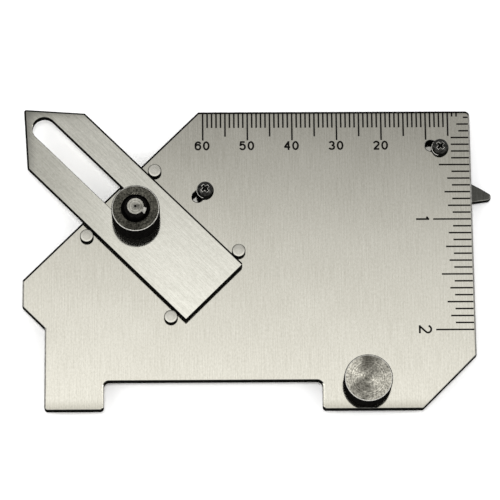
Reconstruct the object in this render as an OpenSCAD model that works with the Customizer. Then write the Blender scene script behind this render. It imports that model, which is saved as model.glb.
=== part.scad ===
// Weld gauge of the bridge and cam kind, lying with its ruler side up.
// Millimetres. It lies on z = 0 and is centred on its own outline.
// Places on the plate are measured from the ruler zero, its upper right corner.

/* [Body plate] */
// Length of the plate, along the millimetre ruler
body_len = 100; // [94:1:120]
// Height of the plate, along the inch ruler, feet included
body_h = 68.5; // [66:0.5:80]
// Thickness of the plate
body_t = 2.5; // [2:0.1:4]
// Leg of the large 45 degree cut, across which the slider runs
slider_cut = 39; // [34:0.5:42]
// Height of the short upright edge on the left
left_edge_h = 6; // [4:0.5:10]
// Leg of the small 45 degree cut above the left foot
left_cut = 5; // [3:0.5:8]
// Leg of the 45 degree cut beside the right foot
right_cut = 12; // [8:0.5:14]
// Radius of the corner at the ruler zero
zero_corner_r = 1.1; // [0.5:0.1:2]

/* [Bridge] */
// Width of the left foot
left_foot_w = 13; // [10:0.5:18]
// Width of the gap between the feet
gap_w = 48; // [40:0.5:50]
// Height of the gap between the feet
gap_h = 6.5; // [4:0.5:10]
// Radius of the corners of the feet
foot_r = 0.8; // [0.4:0.1:1.5]
// Radius of the inner corners of the gap
gap_r = 1.2; // [0.5:0.1:2]

/* [Throat slider] */
// Length of the slider, tip included
slider_len = 60; // [56:0.5:66]
// Width of the slider
slider_w = 18; // [15:0.5:22]
// Thickness of the slider
slider_t = 2; // [1.5:0.1:3]
// Length of the pointed end
tip_len = 10.3; // [9.2:0.1:14]
// Radius of the point
tip_r = 0.5; // [0.2:0.1:0.8]
// Width of the slot
slot_w = 5.3; // [5.2:0.1:6]
// Distance from the point to the centre of the slot's first end
slot_start = 6.5; // [6:0.1:9]
// Spare slot past the stud when the point is at zero
slot_spare = 0.5; // [0.2:0.1:1]

/* [Stud and nut] */
// Distance of the stud from the edge of the large cut
stud_in = 7.9; // [7:0.1:9]
// Diameter of the stud in the plate
stud_d = 5; // [4.6:0.1:5.1]
// Diameter of the low head on the scale side
stud_head_d = 9; // [7.5:0.1:11]
// Length of stud that stands out of the nut
stud_end = 1.6; // [0.8:0.1:2.5]
// Diameter of the flat at the end of the stud
stud_tip_d = 3.6; // [3:0.1:4]
// Diameter of the round nut
nut_d = 10.7; // [9.5:0.1:12]
// Height of the round nut
nut_h = 6.3; // [4:0.1:8]
// Diameter of the recess in the nut's face
nut_recess_d = 6.3; // [5.8:0.1:7]
// Depth of the recess in the nut's face
nut_recess = 1.2; // [0.6:0.1:1.8]

/* [Guide pins] */
// Diameter of a pin
pin_d = 3; // [2.4:0.1:3.6]
// Height of a pin over the plate
pin_proud = 1.2; // [0.8:0.1:1.8]
// Rounding of a pin's edge
pin_edge = 0.4; // [0.2:0.05:0.6]
// Distance of the first pins from the edge of the large cut
pin_in = 3.1; // [2.6:0.1:4]
// Distance between the two pins on one side
pin_pitch = 26.3; // [22:0.1:28]

/* [Cam] */
// Distance of the pivot from the plate's right edge
pivot_in = 24.15; // [20:0.05:27]
// Distance of the pivot from the soles of the feet
pivot_up = 5.85; // [5.7:0.05:8]
// Thickness of the cam
cam_t = 1.6; // [1.2:0.1:2.4]
// How far the beak stands out past the plate's right edge
beak_out = 4.5; // [2:0.1:6]
// Length of the beak's lower edge
beak_len = 11; // [9:0.5:14]
// Slope of the beak's lower edge
beak_slope = 7.6; // [0:0.1:12]
// Radius of the beak's point
beak_r = 0.9; // [0.5:0.1:1.4]
// Radius in the corner behind the beak
beak_root_r = 2.5; // [1:0.1:4]
// Angle of the cam's curved edge, from the beak's point to its far end
cam_sweep = 72; // [64:1:80]
// Radius of the cam round its pivot
hub_r = 5.5; // [5:0.1:5.6]

/* [Arc guide] */
// Width of the guide
guide_w = 8; // [6.5:0.1:10]
// Distance of the guide from the plate's upper edge
guide_margin = 2.15; // [1:0.05:3]
// Angle of the first adjusting screw at the pivot
screw_1_at = 72.2; // [71.5:0.1:74]
// Angle of the second adjusting screw at the pivot
screw_2_at = 128.8; // [122:0.1:130]
// Angle from each screw to the centre of the guide's round end
guide_past = 2.5; // [2:0.1:3]
// Width of the adjusting slots
adjust_w = 2.5; // [2.3:0.1:3]
// Angle through which the guide can be adjusted
adjust_sweep = 2.2; // [1:0.1:3]

/* [Screws] */
// Thread diameter of the adjusting screws
screw_d = 2; // [1.6:0.1:2.2]
// Diameter of the washer under a screw's head
washer_d = 3.9; // [3.5:0.1:4.4]
// Thickness of that washer
washer_t = 0.5; // [0.3:0.1:0.8]
// Diameter of a screw's head
screw_head_d = 3.5; // [3.1:0.1:3.8]
// Height of a screw's head
screw_head_h = 1.7; // [1.2:0.1:2]
// Radius of the dome on a screw's head
screw_dome_r = 2.6; // [2.4:0.1:4]
// Length of each arm of the cross recess
cross_len = 2; // [1.4:0.1:2.4]
// Width of the arms of the cross recess
cross_w = 0.5; // [0.3:0.05:0.7]
// Depth of the cross recess
cross_depth = 0.9; // [0.5:0.1:1]

/* [Pivot] */
// Diameter of the knob
knob_d = 10.7; // [9:0.1:11.2]
// Height of the knob
knob_h = 4.2; // [3:0.1:6]
// Diameter of the knob's screw
knob_screw_d = 4; // [3:0.1:4.2]
// Diameter of the bush's shoulder, on which the cam turns
bush_d = 6; // [5.6:0.1:6.6]
// Diameter of the bush's flange
flange_d = 9; // [7.6:0.1:10]
// Thickness of the bush's flange
flange_t = 0.8; // [0.6:0.1:1.4]
// Width across the flats that keep the bush from turning
bush_flats = 5.2; // [5:0.1:5.4]

/* [Clearances] */
// Play between faces that slide or turn on each other
face_play = 0.05; // [0.03:0.01:0.1]
// Radial play of a turning fit
turn_play = 0.05; // [0.03:0.01:0.09]
// Gap between the slider's edges and the guide pins
pin_gap = 0.15; // [0.1:0.05:0.3]
// Gap between the cam's curved edge and the guide
cam_gap = 0.3; // [0.2:0.05:0.5]
// Bevel on turned edges
turned_bevel = 0.3; // [0.1:0.05:0.4]

/* [Hidden] */
$fn = 96;
through = 1;
// An arc that rounds a corner is this much larger than one that only touches its sides, so that it crosses them
crossing = 1.002;

// Heights of the layers
under_h = flange_t + cam_t + 2 * face_play;
body_top = under_h + body_t;
slider_z = body_top + face_play;
nut_z = slider_z + slider_t + face_play;
nut_top = nut_z + nut_h;
cam_z = flange_t + face_play;
knob_z = body_top + face_play;

// Place of the ruler zero, and of the outline's corners seen from it
zero_at = [(body_len - beak_out) / 2, body_h / 2];
foot_y = -body_h;
gap_y = foot_y + gap_h;
left_x = -body_len;
foot_left_x = left_x + left_cut;
gap_left_x = foot_left_x + left_foot_w;
gap_right_x = gap_left_x + gap_w;
right_cut_end = [-right_cut, foot_y];
left_sole = [foot_left_x, foot_y];
gap_foot_left = [gap_left_x, foot_y];
gap_foot_right = [gap_right_x, foot_y];
gap_top_left = [gap_left_x, gap_y];
gap_top_right = [gap_right_x, gap_y];
right_cut_top = [0, foot_y + right_cut];
left_cut_end = [foot_left_x, -slider_cut - left_edge_h - left_cut];
body_outline = [
    [0, 0],
    [left_x + slider_cut, 0],
    [left_x, -slider_cut],
    [left_x, -slider_cut - left_edge_h],
    left_cut_end,
    left_sole,
    right_cut_end,
    right_cut_top,
];

// Slider axis: u runs from the point into the plate, v across it
slider_origin = [left_x, 0];
slider_turn = -45;
cut_u = slider_cut / sqrt(2);
stud_u = cut_u + stud_in;
slot_end = stud_u + slot_spare;
pin_v = slider_w / 2 + pin_gap + pin_d / 2;
pin_places = [for (i = [0, 1], side = [1, -1]) [cut_u + pin_in + i * pin_pitch, side * pin_v]];
slider_outline = [
    [0, 0],
    [tip_len, slider_w / 2],
    [slider_len, slider_w / 2],
    [slider_len, -slider_w / 2],
    [tip_len, -slider_w / 2],
];

// Arc guide and cam, about the pivot
pivot_at = [-pivot_in, foot_y + pivot_up];
guide_outer_r = body_h - pivot_up - guide_margin;
guide_inner_r = guide_outer_r - guide_w;
guide_mid_r = guide_outer_r - guide_w / 2;
adjust_len = 2 * guide_mid_r * sin(adjust_sweep / 2);
cam_r = guide_inner_r - cam_gap;
beak_inset = beak_r / crossing;
beak_at = acos((pivot_in + beak_out - beak_r) / (cam_r - beak_inset));
beak_centre = polar(cam_r - beak_inset, beak_at);
beak_down = polar(1, beak_slope - 90);
beak_under = beak_centre + beak_inset * beak_down;
beak_root = beak_under - polar(beak_len, beak_slope);
cam_end = polar(cam_r, beak_at + cam_sweep);
hub_touch_r = hub_r / crossing;
cam_right_touch = touch(beak_root, hub_touch_r, -1);
root_centre = corner_centre(beak_root, beak_under, cam_right_touch, beak_root_r);
root_reach = corner_reach(beak_root, beak_under, cam_right_touch, beak_root_r);
far = 2 * cam_r;

// Turned pieces
stud_r = stud_d / 2;
thread_r = stud_r - turn_play;
screw_at = [screw_1_at, screw_2_at];
pin_r = pin_d / 2;
knob_r = knob_d / 2;
nut_r = nut_d / 2;
recess_r = nut_recess_d / 2;
bush_bore_r = knob_screw_d / 2;
knob_shank_r = bush_bore_r - turn_play;
bush_r = bush_d / 2;
screw_end_z = under_h / 4;

function unit(v) = v / norm(v);
function polar(r, a) = [r * cos(a), r * sin(a)];
// Point where a line from p, touching a circle of radius r about the origin, meets it
function touch(p, r, side) = polar(r, atan2(p[1], p[0]) + side * acos(r / norm(p)));

// Half the angle at a corner p, with a and b on its two sides
function corner_half(p, a, b) = acos(unit(a - p) * unit(b - p)) / 2;
// Centre of the arc that rounds a corner, and how far along its sides the arc begins
function corner_centre(p, a, b, r) = p + unit(unit(a - p) + unit(b - p)) * r / sin(corner_half(p, a, b));
function corner_reach(p, a, b, r) = r / tan(corner_half(p, a, b));

// What lies between a corner and the arc that rounds it. It reaches a little past both sides.
module corner_sliver(p, a, b, r) {
    to_a = unit(a - p);
    to_b = unit(b - p);
    past_a = unit(to_a * (to_a * to_b) - to_b) * r / 2;
    past_b = unit(to_b * (to_a * to_b) - to_a) * r / 2;
    centre = corner_centre(p, a, b, r);
    reach = corner_reach(p, a, b, r);
    difference() {
        polygon([p + past_a + past_b, p + to_a * reach + past_a, centre, p + to_b * reach + past_b]);
        translate(centre)
            circle(r = r * crossing);
    }
}

// Band along an arc about the origin, with round ends centred at two angles
module arc_band(mid_r, w, from, to) {
    intersection() {
        difference() {
            circle(r = mid_r + w / 2);
            circle(r = mid_r - w / 2);
        }
        polygon([[0, 0], polar(far, from), polar(far, to)]);
    }
    for (a = [from, to])
        translate(polar(mid_r, a))
            circle(d = w * crossing);
}

// Straight slot at a radius and an angle about the origin, crosswise to the radius
module cross_slot(mid_r, w, len, at) {
    rotate(at)
        translate([mid_r, 0]) {
            square([w, len], center = true);
            for (side = [-1, 1])
                translate([0, side * len / 2])
                    circle(d = w);
        }
}

// Disc with two flats, the shape of the bush's neck
module flatted_disc(d, flats) {
    intersection() {
        circle(d = d);
        square([d + through, flats], center = true);
    }
}

module at_zero() {
    translate([zero_at[0], zero_at[1], 0])
        children();
}

module at_pivot() {
    at_zero()
        translate([pivot_at[0], pivot_at[1], 0])
            children();
}

module on_slider_axis(u = 0, v = 0) {
    at_zero()
        translate([slider_origin[0], slider_origin[1], 0])
            rotate(slider_turn)
                translate([u, v, 0])
                    children();
}

module bridge_gap() {
    difference() {
        translate([gap_left_x, foot_y - through])
            square([gap_w, gap_h + through]);
        corner_sliver(gap_top_left, gap_foot_left, gap_top_right, gap_r);
        corner_sliver(gap_top_right, gap_foot_right, gap_top_left, gap_r);
    }
}

module plate_outline() {
    difference() {
        polygon(body_outline);
        bridge_gap();
        corner_sliver([0, 0], body_outline[1], right_cut_top, zero_corner_r);
        corner_sliver(left_sole, left_cut_end, gap_foot_left, foot_r);
        corner_sliver(gap_foot_left, left_sole, gap_top_left, foot_r);
        corner_sliver(gap_foot_right, gap_top_right, right_cut_end, foot_r);
        corner_sliver(right_cut_end, gap_foot_right, right_cut_top, foot_r);
    }
}

module body_plate() {
    color("gainsboro")
        difference() {
            translate([0, 0, under_h])
                at_zero()
                    linear_extrude(body_t)
                        plate_outline();
            translate([0, 0, under_h - through]) {
                on_slider_axis(stud_u)
                    cylinder(r = stud_r, h = body_t + 2 * through);
                for (place = pin_places)
                    on_slider_axis(place[0], place[1])
                        cylinder(r = pin_r, h = body_t + 2 * through);
                at_pivot()
                    linear_extrude(body_t + 2 * through) {
                        flatted_disc(bush_d, bush_flats);
                        for (a = screw_at)
                            cross_slot(guide_mid_r, adjust_w, adjust_len, a + adjust_sweep / 2);
                    }
            }
        }
}

module throat_slider() {
    color("silver")
        on_slider_axis()
            translate([0, 0, slider_z])
                linear_extrude(slider_t)
                    difference() {
                        polygon(slider_outline);
                        corner_sliver(slider_outline[0], slider_outline[1], slider_outline[4], tip_r);
                        translate([slot_start, -slot_w / 2])
                            square([slot_end - slot_start, slot_w]);
                        for (u = [slot_start, slot_end])
                            translate([u, 0])
                                circle(d = slot_w);
                    }
}

module slider_stud() {
    end_h = stud_r - stud_tip_d / 2;
    top = nut_top + stud_end;
    color("lightsteelblue")
        on_slider_axis(stud_u)
            rotate_extrude()
                polygon([
                    [0, 0],
                    [stud_head_d / 2 - turned_bevel, 0],
                    [stud_head_d / 2, turned_bevel],
                    [stud_head_d / 2, under_h],
                    [stud_r, under_h],
                    [stud_r, body_top],
                    [thread_r, body_top],
                    [thread_r, top - end_h],
                    [stud_tip_d / 2, top],
                    [0, top],
                ]);
}

module slider_nut() {
    seat = nut_h - nut_recess;
    color("dimgray")
        on_slider_axis(stud_u)
            translate([0, 0, nut_z])
                rotate_extrude()
                    polygon([
                        [stud_r, 0],
                        [nut_r - turned_bevel, 0],
                        [nut_r, turned_bevel],
                        [nut_r, nut_h - turned_bevel],
                        [nut_r - turned_bevel, nut_h],
                        [recess_r + turned_bevel, nut_h],
                        [recess_r, nut_h - turned_bevel],
                        [recess_r, seat],
                        [stud_r, seat - (recess_r - stud_r)],
                    ]);
}

module guide_pin(number) {
    place = pin_places[number - 1];
    pin_h = body_t + pin_proud;
    color("whitesmoke")
        on_slider_axis(place[0], place[1])
            translate([0, 0, under_h])
                rotate_extrude() {
                    square([pin_r, pin_h - pin_edge]);
                    square([pin_r - pin_edge, pin_h]);
                    translate([pin_r - pin_edge, pin_h - pin_edge])
                        intersection() {
                            circle(r = pin_edge);
                            square(pin_edge);
                        }
                }
}

// Cam with a sharp beak, before its bore and the round corner behind the beak are cut
module cam_blank() {
    left_touch = touch(cam_end, hub_touch_r, 1);
    left_far = left_touch + unit(cam_end - left_touch) * far;
    beak_far = beak_under + polar(far, beak_slope);
    on_beak = beak_root + unit(beak_under - beak_root) * root_reach;
    on_side = beak_root + unit(cam_right_touch - beak_root) * root_reach;
    intersection() {
        circle(r = cam_r);
        polygon([
            [0, 0], left_touch, left_far, polar(far, 90), beak_far, on_beak, on_side, cam_right_touch
        ]);
    }
    circle(r = hub_r);
}

// What is cut off a sharp beak to leave its round point
module beak_waste() {
    difference() {
        polygon([
            beak_centre,
            beak_centre + 2 * beak_r * beak_down,
            beak_centre + polar(4 * beak_r, (beak_at + beak_slope - 90) / 2),
            beak_centre + polar(2 * beak_r, beak_at),
        ]);
        translate(beak_centre)
            circle(r = beak_r);
    }
}

module cam_outline() {
    difference() {
        cam_blank();
        translate(root_centre)
            circle(r = beak_root_r * crossing);
        beak_waste();
        circle(r = bush_r + turn_play);
    }
}

module cam() {
    color("slategray")
        at_pivot()
            translate([0, 0, cam_z])
                linear_extrude(cam_t)
                    cam_outline();
}

module arc_guide() {
    color("lightgray")
        at_pivot()
            linear_extrude(under_h)
                difference() {
                    arc_band(guide_mid_r, guide_w, screw_1_at - guide_past, screw_2_at + guide_past);
                    for (a = screw_at)
                        translate(polar(guide_mid_r, a))
                            circle(d = screw_d);
                }
}

module guide_screw(number) {
    head_top = body_top + washer_t + screw_head_h;
    color("black")
        at_pivot()
            translate(concat(polar(guide_mid_r, screw_at[number - 1]), [0])) {
                translate([0, 0, screw_end_z])
                    cylinder(d = screw_d, h = body_top - screw_end_z);
                translate([0, 0, body_top])
                    cylinder(d = washer_d, h = washer_t);
                difference() {
                    intersection() {
                        translate([0, 0, body_top])
                            cylinder(d = screw_head_d, h = washer_t + screw_head_h);
                        translate([0, 0, head_top - screw_dome_r])
                            sphere(r = screw_dome_r);
                    }
                    for (a = [0, 90])
                        rotate(a)
                            translate([-cross_len / 2, -cross_w / 2, head_top - cross_depth])
                                cube([cross_len, cross_w, screw_head_h]);
                }
            }
}

module pivot_bush() {
    color("burlywood")
        at_pivot()
            difference() {
                union() {
                    cylinder(d = flange_d, h = flange_t);
                    cylinder(r = bush_r, h = under_h);
                    linear_extrude(body_top - face_play)
                        flatted_disc(bush_d, bush_flats);
                }
                translate([0, 0, -through])
                    cylinder(r = bush_bore_r, h = body_top + 2 * through);
            }
}

module pivot_knob() {
    color("darkgray")
        at_pivot()
            rotate_extrude()
                polygon([
                    [0, flange_t],
                    [knob_shank_r, flange_t],
                    [knob_shank_r, knob_z],
                    [knob_r - turned_bevel, knob_z],
                    [knob_r, knob_z + turned_bevel],
                    [knob_r, knob_z + knob_h - turned_bevel],
                    [knob_r - turned_bevel, knob_z + knob_h],
                    [0, knob_z + knob_h],
                ]);
}

body_plate();
throat_slider();
slider_stud();
slider_nut();
guide_pin(1);  // guide_pin_1
guide_pin(2);  // guide_pin_2
guide_pin(3);  // guide_pin_3
guide_pin(4);  // guide_pin_4
cam();
arc_guide();
guide_screw(1);  // guide_screw_1
guide_screw(2);  // guide_screw_2
pivot_bush();
pivot_knob();
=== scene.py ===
"""Looks of a weld gauge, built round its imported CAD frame.

Lengths in the classes are millimetres in the part's frame. Meshes are in metres.
"""

import logging
import math
from dataclasses import dataclass
from enum import Enum
from typing import Callable, Iterable, List, Optional, Sequence, Tuple

import bmesh
import bpy
from mathutils import Matrix, Vector


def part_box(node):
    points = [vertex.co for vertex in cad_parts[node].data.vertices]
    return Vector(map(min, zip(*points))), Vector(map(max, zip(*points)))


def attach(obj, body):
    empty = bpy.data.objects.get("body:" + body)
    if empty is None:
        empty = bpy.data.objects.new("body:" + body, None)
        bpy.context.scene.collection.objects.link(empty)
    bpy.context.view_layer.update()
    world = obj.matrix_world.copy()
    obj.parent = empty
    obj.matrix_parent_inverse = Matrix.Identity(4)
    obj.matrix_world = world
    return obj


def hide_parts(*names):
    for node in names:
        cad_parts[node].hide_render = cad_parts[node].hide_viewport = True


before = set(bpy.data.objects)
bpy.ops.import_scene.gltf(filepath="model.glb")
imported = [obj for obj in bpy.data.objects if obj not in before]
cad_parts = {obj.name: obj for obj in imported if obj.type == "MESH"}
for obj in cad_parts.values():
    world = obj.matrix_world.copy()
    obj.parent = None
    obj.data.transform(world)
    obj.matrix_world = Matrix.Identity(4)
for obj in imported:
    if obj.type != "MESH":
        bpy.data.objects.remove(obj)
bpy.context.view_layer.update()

log = logging.getLogger("weld_gauge")

Colour = Tuple[float, float, float]
Point = Tuple[float, float]
Triple = Tuple[float, float, float]
Edge = bmesh.types.BMEdge
Face = bmesh.types.BMFace
Mesh = bmesh.types.BMesh
Material = bpy.types.Material
Socket = bpy.types.NodeSocket
Chosen = Callable[[Vector], bool]
PartOf = Callable[[Face], int]

MM = 0.001
INCH = 25.4
SIXTEENTHS = 16
GRAIN_UV = "grain"
BLACK = (0.002, 0.002, 0.002)

# Z part of a face's normal: a flat face, nearly flat, the slope of a rim, and a wall.
LEVEL = 0.9999
NEAR_LEVEL = 0.9
RIM_SLOPE = 0.2
WALL = 0.5
# The same on turned heads, and the share of the radius where the outer rim starts.
TURNED_LEVEL = 0.999
TURNED_SLOPE = 0.85
OUTER_SHARE = 0.8
# A rim looks sideways if its normal's X part is this many times its Y part.
SIDE_RATIO = 3
# Smallest angle of an edge that is rounded, in degrees.
RIM_ANGLE = 50.0

# Distance under which two points are one, in metres, and in millimetres for digits.
MERGE = 1e-7
DIGIT_MERGE = 1e-4

PIN_COUNT = 4
PIN_NODES = tuple(f"guide_pin_{number}" for number in range(1, PIN_COUNT + 1))
ROUND_NODES = ("slider_stud", "pivot_bush", *PIN_NODES)
SLOT_NODES = ("guide_screw_1", "guide_screw_2")
# Distance from a node's axis within which the plate's edges belong to its hole or slot.
HOLE_REACH = 4.2


class Grain(Enum):
    """Direction of the brush marks on a flat face, in degrees from +X."""

    UPRIGHT = 90.0
    ALONG_SLIDER = -45.0


class NumberTurn(Enum):
    """Which way a number is turned on the plate, in degrees."""

    LEVEL = 0.0
    SIDEWAYS = -90.0


class Sheet:
    """The node tree of one material."""

    def __init__(self, name: str) -> None:
        """Start an empty material with one shader.

        Args:
            name: Name of the material.
        """
        self.material = bpy.data.materials.new(name)
        self.material.use_nodes = True
        self.tree = self.material.node_tree
        self.tree.nodes.clear()
        self.shader = self.add("ShaderNodeBsdfPrincipled")
        output = self.add("ShaderNodeOutputMaterial")
        self.join(self.shader.outputs["BSDF"], output.inputs["Surface"])

    def add(self, kind: str, **settings: object) -> bpy.types.Node:
        """Add a node.

        Args:
            kind: Blender's name of the node's type.
            settings: Properties of the node.

        Returns:
            The new node.
        """
        node = self.tree.nodes.new(kind)
        for key, value in settings.items():
            setattr(node, key, value)
        return node

    def join(self, start: Socket, end: Socket) -> None:
        """Link two sockets."""
        self.tree.links.new(start, end)

    def fix(self, **values: object) -> None:
        """Set the shader's own sockets, with _ for a space in their names."""
        for key, value in values.items():
            self.shader.inputs[key.replace("_", " ")].default_value = value

    def place(
        self, turn: float, scale: Sequence[float], shift: Sequence[float] = (0, 0, 0)
    ) -> Socket:
        """Object coordinates, shifted, turned about Z and scaled.

        Args:
            turn: Turn in degrees.
            scale: Scale along the turned axes, per metre.
            shift: Point that becomes the origin, in metres.

        Returns:
            The socket with the coordinates.
        """
        source = self.add("ShaderNodeTexCoord")
        centred = self.add("ShaderNodeVectorMath", operation="SUBTRACT")
        centred.inputs[1].default_value = shift
        mapping = self.add("ShaderNodeMapping", vector_type="POINT")
        mapping.inputs["Rotation"].default_value = (0, 0, math.radians(-turn))
        scaled = self.add("ShaderNodeVectorMath", operation="MULTIPLY")
        scaled.inputs[1].default_value = scale
        self.join(source.outputs["Object"], centred.inputs[0])
        self.join(centred.outputs[0], mapping.inputs["Vector"])
        self.join(mapping.outputs[0], scaled.inputs[0])
        return scaled.outputs[0]

    def noise(self, where: Socket, detail: float) -> Socket:
        """Noise in three dimensions.

        Args:
            where: Coordinates, which set its scale.
            detail: Octaves.

        Returns:
            The socket with the value.
        """
        node = self.add("ShaderNodeTexNoise", noise_dimensions="3D")
        node.inputs["Scale"].default_value = 1.0
        node.inputs["Detail"].default_value = detail
        self.join(where, node.inputs["Vector"])
        return node.outputs["Fac"]

    def spread(self, value: Socket, low: float, high: float, margin: float = 0.3) -> Socket:
        """Stretch a noise value over a range.

        Args:
            value: Noise value, mostly between margin and 1 - margin.
            low: Result at the low end.
            high: Result at the high end.
            margin: Share of the range that the noise seldom reaches.

        Returns:
            The socket with the new value.
        """
        node = self.add("ShaderNodeMapRange")
        node.inputs["From Min"].default_value = margin
        node.inputs["From Max"].default_value = 1 - margin
        node.inputs["To Min"].default_value = low
        node.inputs["To Max"].default_value = high
        self.join(value, node.inputs["Value"])
        return node.outputs["Result"]

    def sum(self, *values: Socket) -> Socket:
        """Add values up."""
        total = values[0]
        for value in values[1:]:
            node = self.add("ShaderNodeMath", operation="ADD")
            self.join(total, node.inputs[0])
            self.join(value, node.inputs[1])
            total = node.outputs[0]
        return total

    def away(self, middle: Point) -> Socket:
        """Distance from an upright axis.

        Args:
            middle: Place of the axis, in millimetres.

        Returns:
            The socket with the distance, in metres.
        """
        node = self.add("ShaderNodeVectorMath", operation="LENGTH")
        flat = self.place(0, (1, 1, 0), (middle[0] * MM, middle[1] * MM, 0))
        self.join(flat, node.inputs[0])
        return node.outputs["Value"]

    def blot(self, middle: Point, reach: float, ragged: Socket) -> Socket:
        """A patch with a ragged edge, for darkening the tone.

        Args:
            middle: Its middle, in millimetres.
            reach: Its radius, in millimetres.
            ragged: Noise value that moves its edge.

        Returns:
            The socket with 0 in its middle and 1 outside it.
        """
        shift = 0.5 * reach * MM
        moved = self.sum(self.away(middle), self.spread(ragged, -shift, shift))
        node = self.add("ShaderNodeMapRange", interpolation_type="SMOOTHSTEP")
        node.inputs["From Min"].default_value = 0.25 * reach * MM
        node.inputs["From Max"].default_value = 1.2 * reach * MM
        self.join(moved, node.inputs["Value"])
        return node.outputs["Result"]

    def border(self, way: Point, place: float, width: float) -> Socket:
        """A band along a straight border.

        Args:
            way: Direction out of the face at the border.
            place: Place of the border along it, in millimetres.
            width: Width of the band, in millimetres.

        Returns:
            The socket with 0 at the border and 1 past the band.
        """
        source = self.add("ShaderNodeTexCoord")
        along = self.add("ShaderNodeVectorMath", operation="DOT_PRODUCT")
        along.inputs[1].default_value = (*way, 0)
        self.join(source.outputs["Object"], along.inputs[0])
        node = self.add("ShaderNodeMapRange", interpolation_type="SMOOTHSTEP")
        node.inputs["From Min"].default_value = place * MM
        node.inputs["From Max"].default_value = (place - width) * MM
        self.join(along.outputs["Value"], node.inputs["Value"])
        return node.outputs["Result"]

    def dim(self, value: Socket, share: Socket, depth: float = 0.5) -> Socket:
        """Lower a value where a share is low.

        Args:
            value: The value.
            share: Share from 0 to 1.
            depth: Part that is taken away where the share is 0.

        Returns:
            The socket with the lowered value.
        """
        node = self.add("ShaderNodeMath", operation="MULTIPLY")
        self.join(value, node.inputs[0])
        self.join(self.spread(share, 1 - depth, 1.0, 0.0), node.inputs[1])
        return node.outputs[0]

    def rough(self, fine: Socket, cloud: Socket, limits: Tuple[float, float]) -> None:
        """Roughen the shader by a fine and a broad pattern.

        Args:
            fine: Noise value of the fine pattern.
            cloud: Noise value of the broad one.
            limits: Lowest and highest roughness.
        """
        low, high = limits
        half = (high - low) / 2
        self.join(
            self.sum(self.spread(fine, low, low + half), self.spread(cloud, 0.0, half)),
            self.shader.inputs["Roughness"],
        )

    def tint(self, factor: Socket, *tones: Colour) -> None:
        """Colour the shader between tones.

        Args:
            factor: Value from 0 to 1.
            tones: The tones from 0 to 1, evenly spread.
        """
        node = self.add("ShaderNodeValToRGB")
        ramp = node.color_ramp.elements
        while len(ramp) < len(tones):
            ramp.new(0.5)
        for place, (element, tone) in enumerate(zip(ramp, tones)):
            element.position = place / (len(tones) - 1)
            element.color = (*tone, 1)
        self.join(factor, node.inputs["Fac"])
        self.join(node.outputs["Color"], self.shader.inputs["Base Color"])

    def bump(self, height: Socket, strength: float, distance: float) -> None:
        """Raise the surface by a value.

        Args:
            height: The value.
            strength: Strength of the effect.
            distance: Height of a full step, in metres.
        """
        node = self.add("ShaderNodeBump")
        node.inputs["Strength"].default_value = strength
        node.inputs["Distance"].default_value = distance
        self.join(height, node.inputs["Height"])
        self.join(node.outputs["Normal"], self.shader.inputs["Normal"])

    def across_grain(self) -> None:
        """Stretch highlights across the grain, which runs along the UV map's second axis."""
        node = self.add("ShaderNodeTangent", direction_type="UV_MAP", uv_map=GRAIN_UV)
        self.join(node.outputs["Tangent"], self.shader.inputs["Tangent"])


@dataclass(frozen=True)
class Border:
    """A straight border towards which a face is painted darker."""

    way: Point
    place: float
    width: float
    depth: float


@dataclass(frozen=True)
class BrushedSteel:
    """Satin steel with straight brush marks."""

    name: str
    dark: Colour
    light: Colour
    grain: Grain
    roughness: Tuple[float, float] = (0.075, 0.105)
    anisotropy: float = 0.55
    # Tone at an edge where the borders paint shade, as a share of the dark tone.
    soiled: float = 0.4
    borders: Tuple[Border, ...] = ()
    marks: Triple = (150, 4200, 4200)
    specks: Triple = (1600, 2600, 2600)
    clouds: Triple = (60, 80, 80)
    mark_tone: Tuple[float, float] = (0.5, 0.72)
    speck_tone: float = 0.2
    cloud_tone: float = 0.08
    relief: Tuple[float, float] = (0.1, 0.000006)

    def material(self) -> Material:
        """Make the material."""
        sheet = Sheet(self.name)
        turn = self.grain.value
        fine = sheet.noise(sheet.place(turn, self.marks), detail=3)
        speck = sheet.noise(sheet.place(turn, self.specks), detail=2)
        cloud = sheet.noise(sheet.place(turn, self.clouds), detail=2)
        tone = sheet.sum(
            sheet.spread(fine, *self.mark_tone),
            sheet.spread(speck, 0.0, self.speck_tone),
            sheet.spread(cloud, 0.0, self.cloud_tone),
        )
        # Each border paints the tone darker towards an edge: painted shade along edges, and a
        # darker lower arm on the slider.
        for border in self.borders:
            band = sheet.border(border.way, border.place, border.width)
            tone = sheet.dim(tone, band, border.depth)
        edge_dark_tone = tuple(part * self.soiled for part in self.dark)
        sheet.tint(tone, edge_dark_tone, self.dark, self.light)
        sheet.rough(fine, cloud, self.roughness)
        sheet.fix(Metallic=1.0, Anisotropic=self.anisotropy)
        sheet.across_grain()
        sheet.bump(fine, *self.relief)
        return sheet.material


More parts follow.
